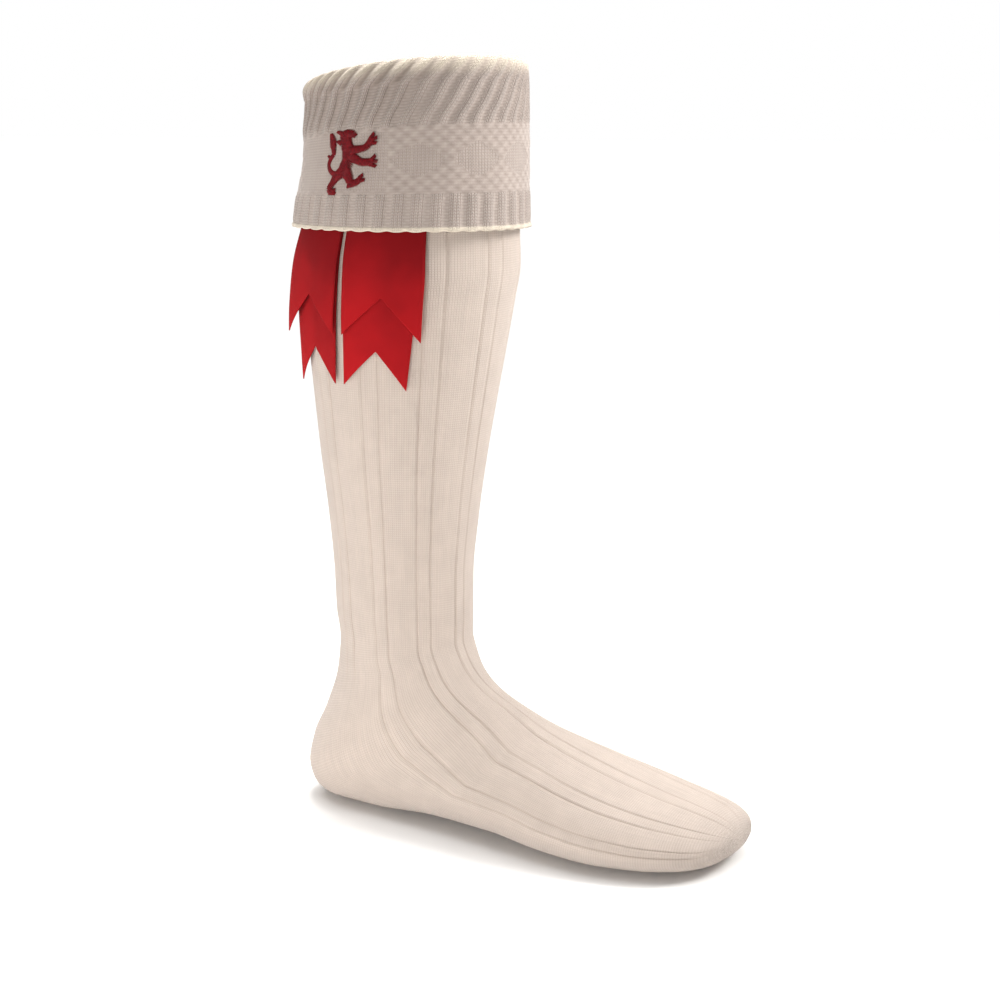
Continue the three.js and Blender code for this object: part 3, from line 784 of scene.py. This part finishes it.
# the lion rampant, embroidered over padding in strokes of side by side threads
lion = {
    "height": 0.0325,
    "turn": 91.0,  # degrees from the shin
    "thread": 0.0006,  # a stranded thread, drawn a little coarse so that it shows
    "apart": 0.82,  # from thread to thread, in threads
    "ends": 0.35,  # share of a thread's thickness where it goes through the knit
    "pad": 0.00045,
    "crown": 0.00035,
    "fullAt": 0.002,  # half the width of a stroke that has its full crown
    "lift": 0.0001,
    "slant": 0.35,
    "over": 0.012,  # share of the height that the stitches reach past each stroke's edge
    # a stroke's places towards the shin, its places upwards and its widths, in shares of the height
    "strokes": {
        "body": (
            (-0.15, -0.12, -0.08, -0.08, -0.13, -0.17),
            (0.4, 0.28, 0.16, 0.04, -0.08, -0.18),
            (0.24, 0.24, 0.26, 0.25, 0.25, 0.24),
        ),
        "head": ((-0.2, -0.08, 0, 0.06), (0.43, 0.445, 0.43, 0.4), (0.13, 0.15, 0.12, 0.06)),
        "ear": ((-0.18, -0.26, -0.33), (0.43, 0.47, 0.49), (0.1, 0.06, 0.03)),
        "mane": ((-0.22, -0.28, -0.32), (0.3, 0.33, 0.335), (0.09, 0.06, 0.03)),
        "upperArm": (
            (-0.02, 0.12, 0.23, 0.31, 0.36),
            (0.18, 0.195, 0.21, 0.27, 0.34),
            (0.15, 0.11, 0.1, 0.11, 0.11),
        ),
        "upperClaw1": ((0.34, 0.4), (0.34, 0.43), (0.07, 0.04)),
        "upperClaw2": ((0.34, 0.46), (0.32, 0.36), (0.07, 0.04)),
        "upperClaw3": ((0.32, 0.45), (0.28, 0.275), (0.07, 0.04)),
        "lowerArm": (
            (-0.02, 0.1, 0.22, 0.34, 0.4),
            (0.09, 0.03, -0.01, -0.01, 0),
            (0.17, 0.13, 0.11, 0.11, 0.11),
        ),
        "lowerClaw1": ((0.38, 0.44), (0.02, 0.09), (0.07, 0.04)),
        "lowerClaw2": ((0.39, 0.48), (0, 0), (0.07, 0.04)),
        "lowerClaw3": ((0.36, 0.46), (-0.04, -0.08), (0.07, 0.04)),
        "frontThigh": ((-0.12, -0.04, 0), (-0.14, -0.23, -0.32), (0.22, 0.18, 0.13)),
        "frontFoot": ((-0.02, 0.09, 0.19), (-0.34, -0.33, -0.28), (0.13, 0.11, 0.1)),
        "frontClaw1": ((0.17, 0.24), (-0.26, -0.2), (0.07, 0.04)),
        "frontClaw2": ((0.18, 0.28), (-0.29, -0.28), (0.07, 0.04)),
        "rearThigh": ((-0.2, -0.31, -0.37), (-0.15, -0.23, -0.32), (0.2, 0.16, 0.12)),
        "rearFoot": ((-0.37, -0.43, -0.4), (-0.32, -0.41, -0.46), (0.12, 0.1, 0.09)),
        "rearClaw1": ((-0.4, -0.28), (-0.45, -0.43), (0.08, 0.04)),
        "rearClaw2": ((-0.4, -0.27), (-0.47, -0.49), (0.07, 0.04)),
        "tail": (
            (-0.24, -0.35, -0.45, -0.49, -0.45, -0.39),
            (-0.18, -0.17, -0.11, -0.02, 0.07, 0.14),
            (0.09, 0.08, 0.072, 0.07, 0.07, 0.07),
        ),
        "tailEnd": (
            (-0.39, -0.4, -0.43, -0.44, -0.48),
            (0.14, 0.22, 0.3, 0.38, 0.47),
            (0.07, 0.11, 0.145, 0.13, 0.05),
        ),
        "tailTuft1": ((-0.41, -0.36), (0.3, 0.36), (0.07, 0.03)),
        "tailTuft2": ((-0.45, -0.52), (0.08, 0.12), (0.06, 0.03)),
    },
}


def lionPoint(x, y, lift):
    middle = math.radians(lion["turn"])
    stretch = cuff["drop"] / (foldHeight(middle) - hemHeight)
    depth = cuff["topRibs"] + cuff["band"] / 2 - y * lion["height"] * stretch
    out = cuff["stand"] - cuff["bandInset"] + flareAt(depth) + lift
    radius = (sock["calfDepth"] + sock["calfWidth"]) / 4 + cuff["stand"]
    return cuffPoint(middle - x * lion["height"] / radius, depth, out)


def layStitches(stroke):
    # threads side by side across a stroke, each a low bow from one edge to the other
    xs, ys, widths = (np.array(column) for column in stroke)
    reach = np.concatenate([[0], np.cumsum(np.hypot(np.diff(xs), np.diff(ys)))])
    line = curveTable(reach, np.stack([xs, ys, widths], axis=-1))
    count = max(3, int(reach[-1] * lion["height"] / (lion["thread"] * lion["apart"])))
    at = np.linspace(0, reach[-1], count)
    x, y, width = readTable(line, at).T[..., None]
    ahead = readTable(line, np.minimum(at + 0.01, reach[-1])) - readTable(line, np.maximum(at - 0.01, 0))
    along = ahead[:, :2] / np.linalg.norm(ahead[:, :2], axis=1)[:, None]
    side = np.stack([-along[:, 1], along[:, 0]], axis=-1) + lion["slant"] * along
    side /= np.linalg.norm(side, axis=1)[:, None]
    half = width / 2 + lion["over"]
    across = np.linspace(-1, 1, 7)[None, :]
    plump = np.clip(half * lion["height"] / lion["fullAt"], 0.45, 1)
    lift = lion["lift"] + (lion["pad"] + lion["crown"] * plump) * np.sqrt(np.clip(1 - across**2, 0, 1))
    return x + across * half * side[:, :1], y + across * half * side[:, 1:], lift, along


def buildLion():
    # each thread has five sides, of which the lowest corner lies in the padding
    sideways, up = np.array([(1, 0), (0.4, 1), (-0.4, 1), (-1, 0), (0, -0.9)]).T
    verts, faces = [], []
    for stroke in lion["strokes"].values():
        x, y, lift, along = layStitches(stroke)
        thick = np.full(x.shape, lion["thread"] / 2)
        thick[:, [0, -1]] *= lion["ends"]
        thick = thick[..., None]
        alongX, alongY = along.T[..., None, None] / lion["height"]
        x = x[..., None] + alongX * thick * sideways
        y = y[..., None] + alongY * thick * sideways
        places = lionPoint(x, y, lift[..., None] + thick * up)
        # corners by thread, place on the thread and place round it
        corner = len(verts) + np.arange(x.size).reshape(x.shape)
        beside = np.roll(corner, -1, axis=2)
        sides = np.stack([corner[:, :-1], beside[:, :-1], beside[:, 1:], corner[:, 1:]], axis=-1)
        verts += places.reshape(-1, 3).tolist()
        faces += sides.reshape(-1, 4).tolist() + corner[:, 0, ::-1].tolist() + corner[:, -1].tolist()
    mesh = bpy.data.meshes.new("lionStitches")
    mesh.from_pydata(verts, [], faces)
    piece = bpy.data.objects.new("lionStitches", mesh)
    bpy.context.collection.objects.link(piece)
    bpy.ops.object.select_all(action="DESELECT")
    piece.select_set(True)
    bpy.context.view_layer.objects.active = piece
    bpy.ops.object.mode_set(mode="EDIT")
    bpy.ops.mesh.select_all(action="SELECT")
    bpy.ops.mesh.normals_make_consistent(inside=False)
    bpy.ops.object.mode_set(mode="OBJECT")
    bpy.ops.object.shade_smooth()
    return piece


stitching = buildLion()
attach(stitching, "root")
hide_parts("lion_motif")
print("lion stitched:", len(stitching.data.polygons), "faces")


# cream wool yarn, worsted spun and knitted: matt, a pale bloom at its edges, painted shade in the gaps
# between its stitches
wool = {
    "leg": {"yarn": "#ccbfb5", "gapShade": "#9d8979", "groove": 0.24},
    # the cuff's yarn is greyer than the leg's, and darker as painted shade over the cuff
    "cuff": {"yarn": "#bbada4", "gapShade": "#75675e", "groove": 0.34, "paleEdgeAndHighlight": "#e2d5c0"},
    "legRelief": {"Strength": 0.8, "Distance": 0.0003},
    "cuffRelief": {"Strength": 0.9, "Distance": 0.00055},
    "fibre": 0.7,  # millimetres, coarser than a real fibre so that it shows
    "uneven": 11,  # millimetres from a thin stretch of yarn to a thick one
    "streaks": (1.0, 26.0, 1.0),  # a streak is one wale wide and this many courses long
    "surface": {"Roughness": 0.92, "IOR": 1.54, "Specular IOR Level": 0.25, "Sheen Weight": 0.18,
                "Sheen Roughness": 0.45},
}


def plainStitches(material, wale, course):
    # two legs of yarn for each wale, which rise from its middle to its sides
    fraction = addNode(material, "Math", {"operation": "FRACT"}, {0: wale})
    centred = addNode(material, "Math", {"operation": "SUBTRACT", 1: 0.5}, {0: fraction})
    fromMiddle = addNode(material, "Math", {"operation": "ABSOLUTE"}, {0: centred})
    twoLegs = addNode(material, "Math", {"operation": "MULTIPLY", 1: 2 * math.pi}, {0: fromMiddle})
    legWave = addNode(material, "Math", {"operation": "SINE"}, {0: twoLegs})
    legRound = addNode(material, "Math", {"operation": "POWER", 1: 0.6}, {0: legWave})
    climb = addNode(material, "Math", {"operation": "MULTIPLY_ADD", 1: -1.1}, {0: fromMiddle, 2: course})
    climbTurn = addNode(material, "Math", {"operation": "MULTIPLY", 1: 2 * math.pi}, {0: climb})
    loopWave = addNode(material, "Math", {"operation": "COSINE"}, {0: climbTurn})
    loopRound = addNode(material, "Math", {"operation": "MULTIPLY_ADD", 1: 0.3, 2: 0.7}, {0: loopWave})
    strands = addNode(material, "Math", {"operation": "MULTIPLY"}, {0: legRound, 1: loopRound})
    domeTurn = addNode(material, "Math", {"operation": "MULTIPLY", 1: math.pi}, {0: centred})
    dome = addNode(material, "Math", {"operation": "COSINE"}, {0: domeTurn})
    domed = addNode(material, "Math", {"operation": "MULTIPLY_ADD", 1: 0.75, 2: 0.25}, {0: dome})
    return addNode(material, "Math", {"operation": "MULTIPLY"}, {0: strands, 1: domed})


def checker(material, wale, course, stitches):
    # raised and sunk places by turns, this many stitches each way, and the wave from course to course alone
    waves = []
    for source in (wale, course):
        turn = addNode(material, "Math", {"operation": "MULTIPLY", 1: math.pi / stitches}, {0: source})
        waves.append(addNode(material, "Math", {"operation": "SINE"}, {0: turn}))
    return addNode(material, "Math", {"operation": "MULTIPLY"}, {0: waves[0], 1: waves[1]}), waves[1]


def purlStitches(material, wale, course):
    # short bars, half a wale apart from course to course
    checks, courseWave = checker(material, wale, course, 1)
    bars = addNode(material, "Math", {"operation": "ABSOLUTE"}, {0: courseWave})
    waved = addNode(material, "Math", {"operation": "MULTIPLY_ADD", 1: 0.3}, {0: checks, 2: bars})
    return addNode(material, "Math", {"operation": "MULTIPLY_ADD", 1: 0.28, 2: 0.42}, {0: waved})


def doubleMoss(material, wale, course, purl):
    # blocks of two by two stitches
    checks = checker(material, wale, course, 2)[0]
    blocks = addNode(material, "Math", {"operation": "MULTIPLY_ADD", 1: 0.18, 2: 0.05}, {0: checks})
    return addNode(material, "Math", {"operation": "MULTIPLY_ADD", 1: 0.45}, {0: purl, 2: blocks})


def whereMarked(material, mark, unmarked, marked):
    share = addNode(material, "Attribute", {"attribute_name": mark})
    links = {0: share.outputs["Fac"], 2: unmarked, 3: marked}
    return addNode(material, "Mix", {"data_type": "FLOAT"}, links)


def woolKnit(name, look, relief):
    material = startMaterial(name)
    uv = addNode(material, "UVMap", {"uv_map": "stitches"})
    parts = addNode(material, "SeparateXYZ", links={0: uv})
    wale, course = parts.outputs["X"], parts.outputs["Y"]
    purl = purlStitches(material, wale, course)
    height = whereMarked(material, "purl", plainStitches(material, wale, course), purl)
    if "paleEdgeAndHighlight" in look:
        # the cuff's band: its plain stitches are worked closer, and its ground is double moss
        closer = addNode(material, "Math", {"operation": "MULTIPLY_ADD", 1: 0.55, 2: 0.12}, {0: height})
        height = whereMarked(material, "even", height, closer)
        height = whereMarked(material, "moss", height, doubleMoss(material, wale, course, purl))
    # fibres and the yarn's own unevenness
    place = addNode(material, "TexCoord").outputs["Object"]
    fibreGrain = {"Scale": 1000 / wool["fibre"], "Detail": 3.0, "Roughness": 0.65}
    fibre = addNode(material, "TexNoise", fibreGrain, {"Vector": place})
    uneven = addNode(material, "TexNoise", {"Scale": 1000 / wool["uneven"], "Detail": 2.0}, {"Vector": place})
    fuzzy = addNode(material, "Math", {"operation": "MULTIPLY_ADD", 1: 0.35}, {0: fibre, 2: height})
    # painted shade between the stitches and in the grooves
    deep = addNode(material, "Attribute", {"attribute_name": "deep"}).outputs["Fac"]
    paintedGrooveShade = addNode(material, "Math", {"operation": "MULTIPLY_ADD", 1: -look["groove"], 2: 1.0}, {0: deep})
    stitchShade = {"From Min": 0.05, "From Max": 0.75, "To Min": 0.4, "To Max": 1.0}
    shade = addNode(material, "MapRange", stitchShade, {"Value": height})
    light = addNode(material, "Math", {"operation": "MULTIPLY"}, {0: shade, 1: paintedGrooveShade})
    colours = {"data_type": "RGBA", 6: linearColour(look["gapShade"]), 7: linearColour(look["yarn"])}
    yarn = addNode(material, "Mix", colours, {0: light})
    # paler yarn at the bound-off edge, and a painted highlight over the top of the fold
    if "paleEdgeAndHighlight" in look:
        rim = addNode(material, "Attribute", {"attribute_name": "rim"}).outputs["Fac"]
        paler = {"data_type": "RGBA", 7: linearColour(look["paleEdgeAndHighlight"])}
        yarn = addNode(material, "Mix", paler, {0: rim, 6: yarn.outputs[2]})
    # each wale was knitted a little looser or tighter than the next, which shows as streaks down the knit
    streaks = {"vector_type": "TEXTURE", "Scale": wool["streaks"]}
    downKnit = addNode(material, "Mapping", streaks, {"Vector": uv})
    streak = addNode(material, "TexNoise", {"Scale": 0.9, "Detail": 1.0}, {"Vector": downKnit})
    both = addNode(material, "Math", {"operation": "ADD"}, {0: uneven, 1: streak})
    tints = {"From Min": 0.7, "From Max": 1.3, "To Min": 0.94, "To Max": 1.04}
    tint = addNode(material, "MapRange", tints, {"Value": both})
    multiply = {"data_type": "RGBA", "blend_type": "MULTIPLY", 0: 1.0}
    varied = addNode(material, "Mix", multiply, {6: yarn.outputs[2], 7: tint})
    return finishMaterial(material, wool["surface"], varied, fuzzy, relief)


dress(leg, woolKnit("creamWoolStocking", wool["leg"], wool["legRelief"]))
dress(turnover, woolKnit("creamWoolCuffKnit", wool["cuff"], wool["cuffRelief"]))
print("wool dyed")


# worsted wool ribbon, woven in a fine twill: matt and even, its red deeper up where the cuff shades it
ribbonLook = {
    "low": "#aa161b",
    "high": "#7a0d12",
    "thread": 0.45,  # millimetres from one line of the twill to the next, seen only close up
    "nap": 0.9,  # millimetres, coarser than real nap so that it shows
    "cloud": 17,  # millimetres from a lighter to a darker place
    "relief": {"Strength": 0.5, "Distance": 0.00005},
    "surface": {"Roughness": 0.85, "IOR": 1.5, "Specular IOR Level": 0.08},
}


def ribbonCloth():
    material = startMaterial("redWoolRibbon")
    uv = addNode(material, "UVMap", {"uv_map": "stitches"})
    parts = addNode(material, "SeparateXYZ", links={0: uv})
    x, y = parts.outputs["X"], parts.outputs["Y"]
    pitch = 2 * math.pi / ribbonLook["thread"]
    slant = addNode(material, "Math", {"operation": "MULTIPLY_ADD", 1: 0.6}, {0: y, 2: x})
    twillTurn = addNode(material, "Math", {"operation": "MULTIPLY", 1: pitch}, {0: slant})
    twill = addNode(material, "Math", {"operation": "SINE"}, {0: twillTurn})
    weftTurn = addNode(material, "Math", {"operation": "MULTIPLY", 1: pitch}, {0: y})
    weft = addNode(material, "Math", {"operation": "SINE"}, {0: weftTurn})
    weave = addNode(material, "Math", {"operation": "MULTIPLY_ADD", 1: 0.5}, {0: weft, 2: twill})
    place = addNode(material, "TexCoord").outputs["Object"]
    nap = addNode(material, "TexNoise", {"Scale": 1000 / ribbonLook["nap"], "Detail": 3.0}, {"Vector": place})
    soft = {"Scale": 1000 / ribbonLook["cloud"], "Detail": 2.0}
    cloud = addNode(material, "TexNoise", soft, {"Vector": place})
    height = addNode(material, "Math", {"operation": "MULTIPLY_ADD", 1: 0.35}, {0: nap, 2: weave})
    clouds = {"From Min": 0.3, "From Max": 0.7, "To Min": -0.12, "To Max": 0.12}
    share = addNode(material, "MapRange", clouds, {"Value": cloud})
    # the free mark carries painted shade: the red deeper up under the cuff and over the front half; random
    # clouds are added
    hung = addNode(material, "Attribute", {"attribute_name": "free"}).outputs["Fac"]
    shadeAndClouds = addNode(material, "Math", {"operation": "ADD"}, {0: hung, 1: share})
    # and painted shade in the twill's dips, from the same weave that gives the relief
    thread = addNode(material, "Math", {"operation": "MULTIPLY_ADD", 1: 0.06}, {0: weave, 2: shadeAndClouds})
    reds = {"data_type": "RGBA", 6: linearColour(ribbonLook["high"]), 7: linearColour(ribbonLook["low"])}
    red = addNode(material, "Mix", reds, {0: thread})
    return finishMaterial(material, ribbonLook["surface"], red, height, ribbonLook["relief"])


redRibbon = ribbonCloth()
for piece in ribbons:
    dress(piece, redRibbon)


# rayon embroidery thread, satin stitch: a low gloss along each thread, and painted shade where the threads
# dip
threadLook = {
    "dark": "#52050d",
    "light": "#860a16",
    "strand": 1.1,  # millimetres from a darker to a lighter place on the threads
    "relief": {"Strength": 0.3, "Distance": 0.00004},
    "surface": {"Roughness": 0.5, "IOR": 1.5, "Specular IOR Level": 0.2},
}


def embroideryThread():
    material = startMaterial("redRayonThread")
    place = addNode(material, "TexCoord").outputs["Object"]
    grain = {"Scale": 1000 / threadLook["strand"], "Detail": 2.0}
    strand = addNode(material, "TexNoise", grain, {"Vector": place})
    spread = {"From Min": 0.3, "From Max": 0.7, "To Min": 0.0, "To Max": 1.0}
    share = addNode(material, "MapRange", spread, {"Value": strand})
    reds = {"data_type": "RGBA", 6: linearColour(threadLook["dark"]), 7: linearColour(threadLook["light"])}
    red = addNode(material, "Mix", reds, {0: share})
    return finishMaterial(material, threadLook["surface"], red, strand, threadLook["relief"])


dress(stitching, embroideryThread())


# woven elastic: pale, matt, ribbed along its length by the rubber cores
elasticLook = {
    "between": "#cfc8ba",
    "cores": "#ece7dc",
    "relief": {"Strength": 0.5, "Distance": 0.0001},
    "surface": {"Roughness": 0.85},
}


def wovenElastic():
    material = startMaterial("paleWovenElastic")
    uv = addNode(material, "UVMap", {"uv_map": "stitches"})
    coreApart = garter["width"] * 1000 / garter["ribs"]  # millimetres
    ribs = {"Scale": 2 * math.pi / 20 / coreApart, "Distortion": 0.5, "bands_direction": "Y"}
    weave = addNode(material, "TexWave", ribs, {"Vector": uv}).outputs["Fac"]
    # the darker tone between the cores is painted shade, following the ribs' relief
    between, cores = linearColour(elasticLook["between"]), linearColour(elasticLook["cores"])
    tones = {"data_type": "RGBA", 6: between, 7: cores}
    tone = addNode(material, "Mix", tones, {0: weave})
    return finishMaterial(material, elasticLook["surface"], tone, weave, elasticLook["relief"])


dress(band, wovenElastic())
print("ribbon, thread and elastic dyed")


# a plain pale painted floor that runs far out on all sides
floorLook = {
    "size": 80,
    "below": 0.0006,
    "dark": "#f5f4f2",
    "light": "#f8f7f6",
    "cloud": 1250,  # millimetres from a darker to a lighter place
    "surface": {"Roughness": 0.9},
}


def buildFloor():
    bpy.ops.object.select_all(action="DESELECT")
    bpy.ops.mesh.primitive_plane_add(size=floorLook["size"], location=(0, 0, -floorLook["below"]))
    floor = bpy.context.object
    floor.name = "floor"
    bpy.ops.object.transform_apply(location=True, rotation=True, scale=True)
    material = startMaterial("paleStudioFloor")
    place = addNode(material, "TexCoord").outputs["Object"]
    soft = {"Scale": 1000 / floorLook["cloud"], "Detail": 2.0}
    cloud = addNode(material, "TexNoise", soft, {"Vector": place})
    tones = {"data_type": "RGBA", 6: linearColour(floorLook["dark"]), 7: linearColour(floorLook["light"])}
    tone = addNode(material, "Mix", tones, {0: cloud})
    dress(floor, finishMaterial(material, floorLook["surface"], tone))


buildFloor()
print("floor laid")

print("scene finished")
